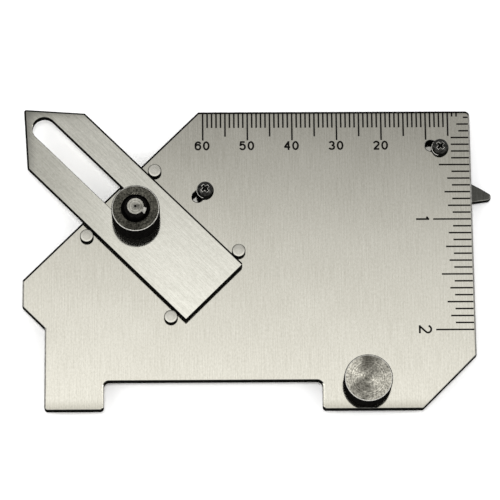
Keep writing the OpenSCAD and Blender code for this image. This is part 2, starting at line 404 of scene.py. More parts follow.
@dataclass(frozen=True)
class TurnedSteel:
    """Steel with fine rings about an axis, as a lathe leaves it."""

    name: str
    dark: Colour
    light: Colour
    axis: Point
    roughness: Tuple[float, float] = (0.22, 0.4)
    anisotropy: float = 0.8
    stain: float = 0.35
    grit: float = 0.0
    quarter_turns: float = 0.0
    spots: Tuple[Triple, ...] = ()
    rings: float = 4200
    clouds: float = 420
    specks: float = 2400
    speck_margin: float = 0.36
    relief: Tuple[float, float] = (0.25, 0.000012)

    def material(self) -> Material:
        """Make the material."""
        sheet = Sheet(self.name)
        rings = sheet.add("ShaderNodeTexNoise", noise_dimensions="1D")
        rings.inputs["Scale"].default_value = self.rings
        rings.inputs["Detail"].default_value = 3
        sheet.join(sheet.away(self.axis), rings.inputs["W"])
        ring = rings.outputs["Fac"]
        cloud = sheet.noise(sheet.place(0, (self.clouds,) * 3), detail=4)
        speck = sheet.noise(sheet.place(0, (self.specks,) * 3), detail=3)
        tone = sheet.sum(
            sheet.spread(ring, 0.0, 1 - self.stain - self.grit),
            sheet.spread(cloud, 0.0, self.stain),
            sheet.spread(speck, 0.0, self.grit, self.speck_margin),
        )
        # Each spot darkens the tone round a point: painted shade on the nut and the knob, a darker
        # middle on the stud's end.
        for x, y, r in self.spots:
            tone = sheet.dim(tone, sheet.blot((self.axis[0] + x, self.axis[1] + y), r, cloud))
        sheet.tint(tone, self.dark, self.light)
        sheet.rough(ring, cloud, self.roughness)
        sheet.fix(
            Metallic=1.0, Anisotropic=self.anisotropy,
            Anisotropic_Rotation=self.quarter_turns / 4,
        )
        sheet.across_grain()
        sheet.bump(ring, *self.relief)
        return sheet.material


@dataclass(frozen=True)
class PlainFinish:
    """A finish with a fine mottle: painted shade on walls and rims, oxide and ink."""

    name: str
    dark: Colour
    light: Colour
    roughness: Tuple[float, float]
    metallic: float = 0.0
    specular: float = 0.5
    mottle: float = 900.0
    bump: float = 0.1
    relief: float = 0.00002

    def material(self) -> Material:
        """Make the material."""
        sheet = Sheet(self.name)
        grit = sheet.noise(sheet.place(0, (self.mottle,) * 3), detail=4)
        sheet.tint(sheet.spread(grit, 0.0, 1.0), self.dark, self.light)
        sheet.join(sheet.spread(grit, *self.roughness), sheet.shader.inputs["Roughness"])
        sheet.fix(Metallic=self.metallic, Specular_IOR_Level=self.specular)
        sheet.bump(grit, self.bump, self.relief)
        return sheet.material


@dataclass(frozen=True)
class Seat:
    """Axis, radius and heights of a turned CAD node."""

    x: float
    y: float
    r: float
    low: float
    high: float

    @classmethod
    def of(cls, node: str) -> "Seat":
        """Read a turned node's place from its box.

        Args:
            node: Name of the node.

        Returns:
            Its seat, in millimetres.
        """
        low, high = (Vector(corner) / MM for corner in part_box(node))
        middle = (low + high) / 2
        return cls(middle.x, middle.y, (high.x - low.x) / 2, low.z, high.z)

    @property
    def axis(self) -> Point:
        """Place of the axis, seen from above."""
        return self.x, self.y


def node_mesh(node: str) -> Mesh:
    """Copy a CAD node's mesh, joined up and with its flat faces made whole.

    Args:
        node: Name of the node.

    Returns:
        The copy.
    """
    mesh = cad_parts[node].data.copy()
    if "custom_normal" in mesh.attributes:
        mesh.attributes.remove(mesh.attributes["custom_normal"])
    bm = bmesh.new()
    bm.from_mesh(mesh)
    bpy.data.meshes.remove(mesh)
    bmesh.ops.remove_doubles(bm, verts=bm.verts, dist=MERGE)
    bmesh.ops.dissolve_limit(bm, angle_limit=math.radians(0.5), verts=bm.verts, edges=bm.edges)
    return bm


def rim_edges(bm: Mesh, angle: float, chosen: Optional[Chosen] = None) -> List[Edge]:
    """Find sharp edges.

    Args:
        bm: The mesh.
        angle: Smallest angle between an edge's two faces, in degrees.
        chosen: Whether an edge counts, by its middle in millimetres.

    Returns:
        The edges.
    """
    limit = math.radians(angle)
    joined = [edge for edge in bm.edges if len(edge.link_faces) == 2]
    sharp = [edge for edge in joined if edge.calc_face_angle() > limit]
    if chosen is None:
        return sharp
    return [edge for edge in sharp if chosen((edge.verts[0].co + edge.verts[1].co) / 2 / MM)]


def round_rims(
    bm: Mesh, width: float, segments: int = 3, angle: float = RIM_ANGLE,
    chosen: Optional[Chosen] = None,
) -> List[Face]:
    """Round the sharp edges of a mesh.

    Args:
        bm: The mesh.
        width: Width of the rounding, in millimetres.
        segments: Steps across it.
        angle: Smallest angle of an edge that is rounded, in degrees.
        chosen: Whether an edge is rounded, by its middle in millimetres.

    Returns:
        The faces of the rounding.
    """
    bm.normal_update()
    made = bmesh.ops.bevel(
        bm, geom=rim_edges(bm, angle, chosen), offset=width * MM, offset_type="OFFSET",
        affect="EDGES", segments=segments, profile=0.5, material=-1,
        clamp_overlap=False, loop_slide=False,
    )
    return made["faces"]


def finished(work: bpy.types.Object) -> Mesh:
    """Take the finished mesh of a working object.

    Args:
        work: The object, which is used up.

    Returns:
        Its mesh with the modifiers applied.
    """
    bpy.context.scene.collection.objects.link(work)
    view = bpy.context.evaluated_depsgraph_get()
    mesh = bpy.data.meshes.new_from_object(work.evaluated_get(view))
    bpy.data.objects.remove(work)
    bm = bmesh.new()
    bm.from_mesh(mesh)
    bpy.data.meshes.remove(mesh)
    return bm


def through_modifier(bm: Mesh, kind: str, **settings: object) -> Mesh:
    """Pass a mesh through one modifier.

    Args:
        bm: The mesh, which is used up.
        kind: Blender's name of the modifier's type.
        settings: Properties of the modifier.

    Returns:
        The changed mesh.
    """
    before = bpy.data.meshes.new("before")
    bm.to_mesh(before)
    bm.free()
    work = bpy.data.objects.new("work", before)
    modifier = work.modifiers.new("step", kind)
    for key, value in settings.items():
        setattr(modifier, key, value)
    changed = finished(work)
    bpy.data.meshes.remove(before)
    return changed


def round_each(bm: Mesh, width_of: Callable[[Edge], float]) -> Mesh:
    """Round each sharp edge of a mesh by a width of its own.

    Args:
        bm: The mesh, which is used up.
        width_of: Width of the rounding of an edge, in millimetres, up to 1.

    Returns:
        The rounded mesh.
    """
    bm.normal_update()
    weight = bm.edges.layers.float.new("bevel_weight_edge")
    for edge in rim_edges(bm, RIM_ANGLE):
        edge[weight] = width_of(edge)
    return through_modifier(
        bm, "BEVEL", affect="EDGES", limit_method="WEIGHT", offset_type="OFFSET", width=MM,
        segments=3, profile=0.5, material=-1, use_clamp_overlap=False, loop_slide=False,
    )


def spin_profile(seat: Seat, profile: Sequence[Point], steps: int) -> Mesh:
    """Turn a profile about a seat's axis.

    Args:
        seat: The seat.
        profile: Radius and height of each corner, from the axis round to the axis,
            or closed on itself.
        steps: Steps of the full turn.

    Returns:
        The turned mesh.
    """
    bm = bmesh.new()
    corners = [bm.verts.new(((seat.x + r) * MM, seat.y * MM, z * MM)) for r, z in profile]
    edges = [bm.edges.new(pair) for pair in zip(corners, corners[1:])]
    if profile[0][0] > 0:
        edges.append(bm.edges.new((corners[-1], corners[0])))
    bmesh.ops.spin(
        bm, geom=corners + edges, cent=(seat.x * MM, seat.y * MM, 0), axis=(0, 0, 1),
        dvec=(0, 0, 0), angle=2 * math.pi, steps=steps, use_merge=True, use_duplicate=False,
    )
    bmesh.ops.remove_doubles(bm, verts=bm.verts, dist=MERGE)
    bmesh.ops.recalc_face_normals(bm, faces=bm.faces)
    return bm


def knurl(bm: Mesh, seat: Seat, teeth: int, depth: float, low: float, high: float) -> None:
    """Press straight teeth into a turned side wall.

    Args:
        bm: Mesh that was turned in two steps for each tooth.
        seat: Its seat.
        teeth: Number of teeth.
        depth: Depth of a groove.
        low: Height over which there are teeth.
        high: Height under which there are teeth.
    """
    axis = Vector((seat.x * MM, seat.y * MM, 0))
    for vert in bm.verts:
        arm = vert.co - axis
        arm.z = 0
        if arm.length < (seat.r - 0.02) * MM or not low * MM <= vert.co.z <= high * MM:
            continue
        column = round(math.atan2(arm.y, arm.x) / math.pi * teeth)
        if column % 2:
            bmesh.ops.translate(bm, verts=[vert], vec=-arm.normalized() * depth * MM)


def straight_uv(bm: Mesh, grain: Grain) -> None:
    """Lay a UV map whose second axis runs along the grain.

    Args:
        bm: The mesh.
        grain: The grain.
    """
    layer = bm.loops.layers.uv.new(GRAIN_UV)
    turn = math.radians(grain.value)
    along = Vector((math.cos(turn), math.sin(turn), 0))
    across = Vector((along.y, -along.x, 0))
    for face in bm.faces:
        for loop in face.loops:
            at = loop.vert.co
            loop[layer].uv = (at.dot(across) + at.z, at.dot(along))


def ring_uv(bm: Mesh, seat: Seat) -> None:
    """Lay a UV map whose second axis runs round the rings of a turned mesh.

    Args:
        bm: The mesh.
        seat: Its seat.
    """
    layer = bm.loops.layers.uv.new(GRAIN_UV)
    axis = Vector((seat.x * MM, seat.y * MM, 0))
    for face in bm.faces:
        middle = face.calc_center_median() - axis
        home = math.atan2(middle.y, middle.x)
        for loop in face.loops:
            arm = loop.vert.co - axis
            reach = math.hypot(arm.x, arm.y)
            turn = math.atan2(arm.y, arm.x) - home if reach > MERGE else 0.0
            turn = (turn + math.pi) % (2 * math.pi) - math.pi
            loop[layer].uv = (reach - arm.z, (home + turn) * 2 * MM)


def add_piece(
    bm: Mesh, name: str, body: str, materials: Iterable[Material],
    nodes: Sequence[str] = (), part_of: Optional[PartOf] = None, sharp: float = 40.0,
) -> bpy.types.Object:
    """Finish a mesh as a piece of the gauge.

    Args:
        bm: The mesh, in its place.
        name: Name of the piece.
        body: CAD body that it rides on.
        materials: Its materials.
        nodes: CAD nodes that it stands for.
        part_of: Which material a face takes.
        sharp: Angle over which an edge stays sharp.

    Returns:
        The piece.
    """
    bm.normal_update()
    if part_of:
        for face in bm.faces:
            face.material_index = part_of(face)
    mesh = bpy.data.meshes.new(name)
    bm.to_mesh(mesh)
    bm.free()
    mesh.set_sharp_from_angle(angle=math.radians(sharp))
    for face in mesh.polygons:
        face.use_smooth = abs(face.normal.z) < LEVEL
    piece = bpy.data.objects.new(name, mesh)
    bpy.context.scene.collection.objects.link(piece)
    for material in materials:
        mesh.materials.append(material)
    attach(piece, body)
    if nodes:
        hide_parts(*nodes)
    log.info("%s: %d faces on %s", name, len(mesh.polygons), body)
    return piece


def flat_part(face: Face) -> int:
    """Sort the faces of a flat piece.

    Args:
        face: A face.

    Returns:
        0 for a flat face and a rim that looks inwards, 1 for a wall and a rim that looks up the
        plate, which take black painted shade, 2 for a rim that takes grey painted shade (black on
        the slider).
    """
    normal = face.normal
    if abs(normal.z) > LEVEL:
        return 0
    sideways = abs(normal.x) > SIDE_RATIO * abs(normal.y) and abs(normal.z) > RIM_SLOPE
    if sideways and normal.z > 0 and normal.x * face.calc_center_median().x < 0:
        return 0
    lower = normal.y < 0 and normal.z > NEAR_LEVEL
    return 2 if sideways or lower else 1


@dataclass(frozen=True)
class RimWidths:
    """How wide the rims of a flat piece are rounded, by the way that they look."""

    upper: float
    side: float
    lower: float
    under: float = 0.12

    def of(self, edge: Edge, middle_z: float) -> float:
        """Width of an edge's rounding.

        Args:
            edge: The edge.
            middle_z: Height of the middle of the piece, in metres.

        Returns:
            The width.
        """
        wall = min(edge.link_faces, key=lambda face: abs(face.normal.z)).normal
        upright = all(abs(face.normal.z) < WALL for face in edge.link_faces)
        if not upright and edge.verts[0].co.z < middle_z:
            return self.under
        up, down = max(wall.y, 0), max(-wall.y, 0)
        return self.side + (self.upper - self.side) * up + (self.lower - self.side) * down


def turned_part(seat: Seat) -> PartOf:
    """Sort the faces of a round head.

    Args:
        seat: Its seat.

    Returns:
        A function that gives 0 for a turned face, 2 for the bare bright outer rim and 1 for the
        dark rest.
    """
    def part(face: Face) -> int:
        """Which part a face belongs to."""
        middle = face.calc_center_median() / MM
        outer = math.hypot(middle.x - seat.x, middle.y - seat.y) > OUTER_SHARE * seat.r
        slope = face.normal.z > TURNED_SLOPE
        if face.normal.z > TURNED_LEVEL or (slope and not outer):
            return 0
        return 2 if slope else 1
    return part


@dataclass
class Palette:
    """The materials that several pieces share."""

    plate: Material
    slider: Material
    guide: Material
    cam: Material
    wall: Material
    oxide: Material
    rim: Material
    worn: Material
    blued: Material
    ink: Material

    @classmethod
    def mixed(cls) -> "Palette":
        """Make the shared materials."""
        low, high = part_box("throat_slider")
        tip_x, tip_y = low[0] / MM, high[1] / MM
        corner_x, corner_y = tip_x + 0.7, tip_y - 13.1
        arm_x, arm_y = -0.86, -0.51
        arm_place = arm_x * corner_x + arm_y * corner_y
        plate_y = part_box("body_plate")[1][1] / MM
        finishes = {
            "plate": BrushedSteel(
                "plate_steel", (0.545, 0.526, 0.452), (0.755, 0.735, 0.653), Grain.UPRIGHT,
                # Painted shade: darker bands along the top and bottom edges.
                borders=(
                    Border((0, 1), plate_y, 1.2, 0.8),
                    Border((0, -1), plate_y, 2.6, 0.5),
                ),
            ),
            "slider": BrushedSteel(
                "slider_steel", (0.66, 0.648, 0.572), (0.94, 0.925, 0.833), Grain.ALONG_SLIDER,
                # Painted shade along the tip and the top edge; the third band darkens the lower arm
                # towards its lower-left edge.
                borders=(
                    Border((-1, 0), -tip_x, 3.2, 0.8),
                    Border((0, 1), tip_y, 3.2, 0.8),
                    Border((arm_x, arm_y), arm_place, 14.0, 0.42),
                ),
            ),
            "guide": BrushedSteel(
                "guide_steel", (0.54, 0.53, 0.49), (0.74, 0.725, 0.67), Grain.UPRIGHT,
            ),
            "cam": BrushedSteel(
                "cam_steel", (0.05, 0.05, 0.044), (0.1, 0.1, 0.09), Grain.UPRIGHT,
                roughness=(0.22, 0.32), anisotropy=0.4,
            ),
            # Black painted shade on walls, rims that look up the plate, pin edges, screw recesses
            # and washers.
            "wall": PlainFinish(
                "painted_shade_black", BLACK, (0.008, 0.008, 0.007), (0.45, 0.7), specular=0.0,
            ),
            "oxide": PlainFinish(
                "black_oxide", BLACK, (0.007, 0.0065, 0.006), (0.2, 0.38),
                specular=0.0, mottle=1500,
            ),
            # Grey painted shade on rims that look sideways and on the front of lower rims.
            "rim": PlainFinish(
                "painted_rim_shade", (0.1, 0.098, 0.09), (0.26, 0.255, 0.235), (0.45, 0.7),
                specular=0.0, mottle=1200,
            ),
            # Bright bare steel: rims of the nut and the knob and lips of the screw recesses, and
            # painted highlights on the stud's chamfer and the washers.
            "worn": PlainFinish(
                "worn_edge_and_highlight", (0.3, 0.295, 0.27), (0.6, 0.59, 0.55), (0.5, 0.7),
                metallic=1.0, mottle=1400,
            ),
            "blued": PlainFinish(
                "blued_screw", (0.004, 0.004, 0.0037), (0.055, 0.054, 0.05), (0.12, 0.24),
                metallic=1.0, mottle=1800,
            ),
            "ink": PlainFinish(
                "etched_black", BLACK, (0.009, 0.008, 0.007), (0.6, 0.8),
                specular=0.0, mottle=2500,
            ),
        }
        return cls(**{name: finish.material() for name, finish in finishes.items()})


@dataclass
class Plates:
    """The flat pieces: plate, slider, cam and arc guide."""

    palette: Palette
    rims: RimWidths = RimWidths(upper=0.62, side=0.36, lower=0.12)
    slot_rim: float = 0.18
    slider_rims: RimWidths = RimWidths(upper=0.48, side=0.46, lower=0.02)
    cam_rims: RimWidths = RimWidths(upper=0.24, side=0.24, lower=0.24, under=0.24)
    guide_rims: RimWidths = RimWidths(upper=0.3, side=0.3, lower=0.3, under=0.3)
    guide_lift: float = 0.012
    slider_slot_rim: float = 0.12
    slider_slot_half: float = 2.9
    slider_slot_from: float = 3.0

    def build(self) -> None:
        """Build the four flat pieces."""
        steel = self.palette
        self._flat(
            "plate", "body_plate", "gauge", steel.plate, Grain.UPRIGHT, self.rims,
        )
        self._flat(
            "slider", "throat_slider", "slider", steel.slider,
            Grain.ALONG_SLIDER, self.slider_rims,
        )
        self._flat(
            "cam_plate", "cam", "cam", steel.cam, Grain.UPRIGHT, self.cam_rims,
        )
        self._flat(
            "arc_plate", "arc_guide", "gauge", steel.guide, Grain.UPRIGHT,
            self.guide_rims, self.guide_lift,
        )

    def _flat(
        self, name: str, node: str, body: str, face: Material, grain: Grain,
        rims: RimWidths, lift: float = 0.0,
    ) -> None:
        """Copy a flat node, round its rims and give its walls and some rims painted shade.

        Args:
            name: Name of the piece.
            node: CAD node that it stands for.
            body: Body that it rides on.
            face: Material of its faces.
            grain: Grain of its faces.
            rims: Widths of its rounded rims.
            lift: How far its underside is raised, to leave room for marks.
        """
        bm = node_mesh(node)
        bottom, top = (corner[2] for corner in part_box(node))
        if lift:
            low = [vert for vert in bm.verts if vert.co.z < bottom + MERGE]
            bmesh.ops.translate(bm, verts=low, vec=(0, 0, lift * MM))
        middle_z = (bottom + top) / 2

        def width(edge: Edge) -> float:
            """Width of the rounding of an edge."""
            at = (edge.verts[0].co + edge.verts[1].co) / 2 / MM
            inner = self._inner_rim(node, at, middle_z / MM)
            return rims.of(edge, middle_z) if inner is None else inner

        bm = round_each(bm, width)
        straight_uv(bm, grain)
        # Sideways rims and the front of lower rims take grey painted shade; on the slider they take
        # black.
        dull = self.palette.wall if node == "throat_slider" else self.palette.rim
        add_piece(bm, name, body, (face, self.palette.wall, dull), (node,), flat_part)

    def _inner_rim(self, node: str, at: Vector, middle_z: float) -> Optional[float]:
        """Width of the rims of holes and slots.

        Args:
            node: CAD node.
            at: Middle of an edge.
            middle_z: Height of the middle of the piece.

        Returns:
            The width, or None for an edge of the outline.
        """
        if node == "body_plate":
            def near(nodes: Sequence[str]) -> bool:
                """Whether the edge belongs to a hole or slot of some nodes."""
                return any(math.dist(at.xy, Seat.of(one).axis) < HOLE_REACH for one in nodes)

            if near(ROUND_NODES):
                return 0.0
            if near(SLOT_NODES):
                return self.slot_rim if at.z > middle_z else 0.0
        if node == "throat_slider":
            low, high = (Vector(corner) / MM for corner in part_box(node))
            along = at.x - low.x + high.y - at.y
            across = at.x - low.x - high.y + at.y
            diagonal = math.sqrt(2)
            beside = abs(across) < self.slider_slot_half * diagonal
            if beside and along > self.slider_slot_from * diagonal:
                return self.slider_slot_rim
        return None


def bow(
    x: float, y: float, rx: float, ry: float, start: float, stop: float, step: float = 15
) -> List[Point]:
    """Points along part of an ellipse.

    Args:
        x: Its middle.
        y: Its middle.
        rx: Its half width.
        ry: Its half height.
        start: First angle, in degrees.
        stop: Last angle.
        step: Angle between points.

    Returns:
        The points.
    """
    count = max(2, round(abs(stop - start) / step))
    turns = [math.radians(start + (stop - start) * k / count) for k in range(count + 1)]
    return [(x + rx * math.cos(turn), y + ry * math.sin(turn)) for turn in turns]


# Strokes of each digit, in a square with sides of 1.
STROKES = {
    "0": (bow(0.5, 0.5, 0.5, 0.5, 90, 450),),
    "1": (((0.55, -0.08), (0.55, 1.08)), ((0.55, 1.0), (0.2, 0.84))),
    "2": ((*bow(0.49, 0.72, 0.49, 0.28, 170, -35), (0.05, 0.0)), ((-0.08, 0.0), (1.08, 0.0))),
    "3": (bow(0.46, 0.75, 0.44, 0.25, 160, -90), bow(0.46, 0.26, 0.54, 0.26, 90, -160)),
    "4": (((0.76, -0.1), (0.76, 1.1)), ((0.76, 1.0), (0.0, 0.3)), ((-0.1, 0.3), (1.1, 0.3))),
    "5": (
        ((0.95, 1.0), (0.06, 1.0)), ((0.16, 1.1), (0.05, 0.46)),
        bow(0.47, 0.34, 0.53, 0.34, 145, -155),
    ),
    "6": (
        bow(0.5, 0.33, 0.5, 0.33, 90, 450),
        (*bow(0.54, 0.6, 0.54, 0.4, 25, 180), (0.0, 0.33)),
    ),
}


@dataclass
class Rulers:
    """The etched rulers and their numbers on the plate."""

    ink: Material
    width: float = 0.36
    stroke: float = 0.42
    proud: float = 0.012
    depth: float = 0.03
    edge: float = 0.62
    side_edge: float = 0.38
    last_mm: int = 60
    first_mm: int = 3
    first_full_mm: int = 5
    first_number: int = 20
    ends: Tuple[Point, ...] = ((10, 6.85), (5, 5.95), (1, 3.9))
    corner_end: float = 1.4
    inches: int = 2
    inch_near: Tuple[float, ...] = (1.5, 3.0, 2.6, 4.4, 4.4, 4.4, 4.4)
    inch_lengths: Tuple[Point, ...] = ((16, 8.8), (8, 7.2), (4, 6.1), (2, 5.4), (1, 4.4))
    number_drop: float = 8.1
    number: Point = (1.52, 2.16)
    number_gap: float = 0.34
    number_left: float = 0.16
    inch_number_in: float = 11.14
    inch_number_up: float = 0.08
    inch_number: Point = (2.0, 2.95)

    def build(self) -> None:
        """Build both rulers."""
        high = Vector(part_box("body_plate")[1]) / MM
        self.zero = Vector((high.x, high.y, high.z + self.proud))
        self._millimetres()
        self._inches()

    def _mark(self, bm: Mesh, middle: Point, size: Point) -> None:
        """Add one mark.

        Args:
            bm: Mesh of the ruler.
            middle: Its middle, from the ruler zero.
            size: Its width along X and along Y.
        """
        place = Vector((middle[0], middle[1], -self.depth / 2)) + self.zero
        scale = Matrix.Diagonal((size[0] * MM, size[1] * MM, self.depth * MM, 1))
        bmesh.ops.create_cube(bm, size=1, matrix=Matrix.Translation(place * MM) @ scale)

    def _millimetres(self) -> None:
        """Build the millimetre ruler along the upper edge."""
        bm = bmesh.new()
        for k in range(self.first_mm, self.last_mm + 1):
            end = next(end for step, end in self.ends if k % step == 0)
            length = (self.corner_end if k < self.first_full_mm else end) - self.edge
            self._mark(bm, (-k, -self.edge - length / 2), (self.width, length))
        add_piece(bm, "millimetre_marks", "gauge", (self.ink,))
        for k in range(self.first_number, self.last_mm + 1, 10):
            self._number(
                f"millimetre_{k}", str(k), (-k - self.number_left, -self.number_drop),
                NumberTurn.LEVEL, self.number,
            )

    def _inch_length(self, k: int) -> float:
        """Length of a sixteenth inch mark, shorter near the corner."""
        if k <= len(self.inch_near):
            return self.inch_near[k - 1]
        return next(length for step, length in self.inch_lengths if k % step == 0)

    def _inches(self) -> None:
        """Build the inch ruler along the right edge."""
        bm = bmesh.new()
        for k in range(1, self.inches * SIXTEENTHS + 1):
            length = self._inch_length(k) - self.side_edge
            middle = (-self.side_edge - length / 2, -k * INCH / SIXTEENTHS)
            self._mark(bm, middle, (length, self.width))
        add_piece(bm, "inch_marks", "gauge", (self.ink,))
        for k in range(1, self.inches + 1):
            self._number(
                f"inch_{k}", str(k), (-self.inch_number_in, self.inch_number_up - k * INCH),
                NumberTurn.SIDEWAYS, self.inch_number,
            )

    def _number(self, name: str, digits: str, middle: Point, turn: NumberTurn, size: Point) -> None:
        """Add a number.

        Args:
            name: Name of the piece.
            digits: Its digits.
            middle: Its middle, from the ruler zero.
            turn: Which way it is turned.
            size: Width and height of a digit.
        """
        curve = bpy.data.curves.new(name, "CURVE")
        curve.dimensions = "3D"
        curve.bevel_depth = self.stroke / 2
        curve.bevel_resolution = 0
        curve.use_fill_caps = True
        step = size[0] + self.number_gap
        for place, digit in enumerate(digits):
            left = (place - (len(digits) - 1) / 2) * step - (size[0] - self.stroke) / 2
            for points in STROKES[digit]:
                self._stroke(curve, points, left, size)
        bm = finished(bpy.data.objects.new(name, curve))
        bmesh.ops.remove_doubles(bm, verts=bm.verts, dist=DIGIT_MERGE)
        bmesh.ops.scale(bm, verts=bm.verts, vec=(MM, MM, self.proud / (self.stroke / 2) * MM))
        spin = Matrix.Rotation(math.radians(turn.value), 3, "Z")
        bmesh.ops.rotate(bm, verts=bm.verts, matrix=spin)
        place = (Vector((middle[0], middle[1], -self.proud)) + self.zero) * MM
        bmesh.ops.translate(bm, verts=bm.verts, vec=place)
        bmesh.ops.recalc_face_normals(bm, faces=bm.faces)
        add_piece(bm, name, "gauge", (self.ink,))

    def _stroke(
        self, curve: bpy.types.Curve, points: Sequence[Point], left: float, size: Point
    ) -> None:
        """Draw one stroke of a digit.

        Args:
            curve: Curve that it is added to.
            points: Its points, in the digit's own square.
            left: Left end of the digit's middle line.
            size: Width and height of the digit.
        """
        width, height = (side - self.stroke for side in size)
        closed = math.dist(points[0], points[-1]) < DIGIT_MERGE
        points = points[:-1] if closed else points
        spline = curve.splines.new("POLY")
        spline.use_cyclic_u = closed
        spline.points.add(len(points) - 1)
        for knot, (x, y) in zip(spline.points, points):
            knot.co = (left + x * width, (y - 0.5) * height, 0, 1)


@dataclass
class Clamp:
    """The stud, its round nut and the four guide pins."""

    palette: Palette
    teeth: int = 64
    tooth_depth: float = 0.1
    tooth_margin: float = 0.2
    rim: float = 0.3
    inner_rim: float = 0.14
    recess_r: float = 3.15
    recess: float = 1.2
    bore_r: float = 2.5
    nut_rings: Tuple[float, ...] = (5.0, 4.5, 4.0, 3.6)
    stud_steps: int = 64
    head_rings: Tuple[float, ...] = (1.5, 3)
    tip_rings: Tuple[float, ...] = (1.2, 0.7)
    pitch: float = 0.8
    groove: Triple = (0.4, 0.5, 0.9)
    thread_from: float = 0.2
    thread_r: float = 2.45
    thread_depth: float = 0.22
    tip_r: float = 1.8
    shank_r: float = 2.5
    dimple: float = 0.28
    # Painted highlight: chamfer faces between these angles take the bright edge finish.
    glint: Tuple[float, float] = (-42.0, -8.0)
    # The end of the stud is darker towards its middle.
    dull: Tuple[Triple, ...] = ((-0.1, -0.1, 1.3), (0.0, 0.0, 0.8))
    # Painted shade: the lower side of the nut's face is darker.
    rubbed: Tuple[Triple, ...] = ((-0.6, -4.4, 2.4),)
    pin_crown: float = 0.012
    pin_edge: float = 0.2
    pin_sharp: float = 5.0
    pin_level: float = 0.995
    pin_rings: int = 5
    pin_steps: int = 48

    def build(self) -> None:
        """Build the stud, the nut and the pins."""
        self._stud()
        self._nut()
        for number, node in enumerate(PIN_NODES, 1):
            self._pin(number, node)

    def _stud(self) -> None:
        """Build the stud with the thread that shows above the nut."""
        seat = Seat.of("slider_stud")
        plate_low, plate_high = (corner[2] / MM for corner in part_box("body_plate"))
        end = self.thread_r - self.tip_r
        profile = [(r, seat.low) for r in (0, *self.head_rings, seat.r)]
        profile += [(seat.r, plate_low), (self.shank_r, plate_low)]
        profile += [(self.shank_r, plate_high), (self.thread_r, plate_high)]
        root_r = self.thread_r - self.thread_depth
        z = plate_high + self.thread_from
        while z + self.pitch < seat.high - end:
            down, up, crest = (z + self.pitch * share for share in self.groove)
            profile += [(self.thread_r, z), (root_r, down), (root_r, up), (self.thread_r, crest)]
            z += self.pitch
        profile += [(self.thread_r, seat.high - end), (self.tip_r, seat.high)]
        profile += [(r, seat.high) for r in (*self.tip_rings, self.dimple)]
        profile.append((0, seat.high - self.dimple))
        bm = spin_profile(seat, profile, self.stud_steps)
        ring_uv(bm, seat)
        finish = TurnedSteel(
            "stud_steel", (0.03, 0.028, 0.022), (0.66, 0.645, 0.57), seat.axis,
            roughness=(0.16, 0.22), anisotropy=0.4, stain=0.3, grit=0.2, spots=self.dull,
        )

        def part(face: Face) -> int:
            """0 for the end, 2 for the painted highlight on its chamfer, 1 for the dark rest."""
            middle = face.calc_center_median() / MM
            turn = math.degrees(math.atan2(middle.y - seat.y, middle.x - seat.x))
            if abs(face.normal.z) > NEAR_LEVEL:
                return 0
            rubbed = middle.z > seat.high - end and self.glint[0] < turn < self.glint[1]
            return 2 if rubbed and math.dist(middle.xy, seat.axis) > self.tip_r else 1

        add_piece(
            bm, "stud", "gauge",
            (finish.material(), self.palette.oxide, self.palette.worn), ("slider_stud",), part,
        )

    def _nut(self) -> None:
        """Build the round nut."""
        seat = Seat.of("slider_nut")
        floor = seat.high - self.recess
        cone = self.recess_r - self.bore_r
        faces = [(r, seat.high) for r in self.nut_rings]
        profile = [
            (self.bore_r, seat.low), (seat.r, seat.low), (seat.r, seat.high), *faces,
            (self.recess_r, seat.high), (self.recess_r, floor), (self.bore_r, floor - cone),
        ]
        bm = spin_profile(seat, profile, 2 * self.teeth)
        middle = (self.recess_r + seat.r) / 2

        def outer(at: Vector) -> bool:
            """Whether a point is in the outer half of the ring."""
            return math.dist(at.xy, seat.axis) > middle

        round_rims(bm, self.rim, angle=60, chosen=outer)
        round_rims(bm, self.inner_rim, angle=60, chosen=lambda at: not outer(at))
        knurl(
            bm, seat, self.teeth, self.tooth_depth,
            seat.low + self.tooth_margin, seat.high - self.tooth_margin,
        )
        ring_uv(bm, seat)
        finish = TurnedSteel(
            "nut_steel", (0.002, 0.0019, 0.0014), (0.13, 0.125, 0.102), seat.axis,
            roughness=(0.2, 0.28), anisotropy=0.4, stain=0.3, grit=0.6, spots=self.rubbed,
        )
        add_piece(
            bm, "nut", "nut",
            (finish.material(), self.palette.oxide, self.palette.worn), ("slider_nut",),
            turned_part(seat),
        )

    def _pin(self, number: int, node: str) -> None:
        """Build a guide pin with a crowned end.

        Args:
            number: Number of the pin.
            node: CAD node that it stands for.
        """
        seat = Seat.of(node)
        edge = seat.high - self.pin_crown - self.pin_edge
        profile = [(0, seat.low), (seat.r, seat.low), (seat.r, edge)]
        for k in range(1, self.pin_rings):
            turn = math.radians(90 * k / self.pin_rings)
            inwards, upwards = 1 - math.cos(turn), math.sin(turn)
            profile.append((seat.r - self.pin_edge * inwards, edge + self.pin_edge * upwards))
        flat_r = seat.r - self.pin_edge
        for k in range(self.pin_rings - 1, 0, -1):
            share = k / self.pin_rings
            profile.append((flat_r * share, seat.high - self.pin_crown * share ** 2))
        profile.append((0, seat.high))
        bm = spin_profile(seat, profile, self.pin_steps)
        ring_uv(bm, seat)
        finish = TurnedSteel(
            f"pin_steel_{number}", (0.47, 0.455, 0.4), (0.68, 0.665, 0.6), seat.axis,
            roughness=(0.14, 0.2), anisotropy=0.0,
        )
        # The rounded edge and the side of the pin take the black wall finish, painted shade round
        # the pin.
        add_piece(
            bm, f"pin_{number}", "gauge", (finish.material(), self.palette.wall),
            (node,), lambda face: int(abs(face.normal.z) < self.pin_level), self.pin_sharp,
        )


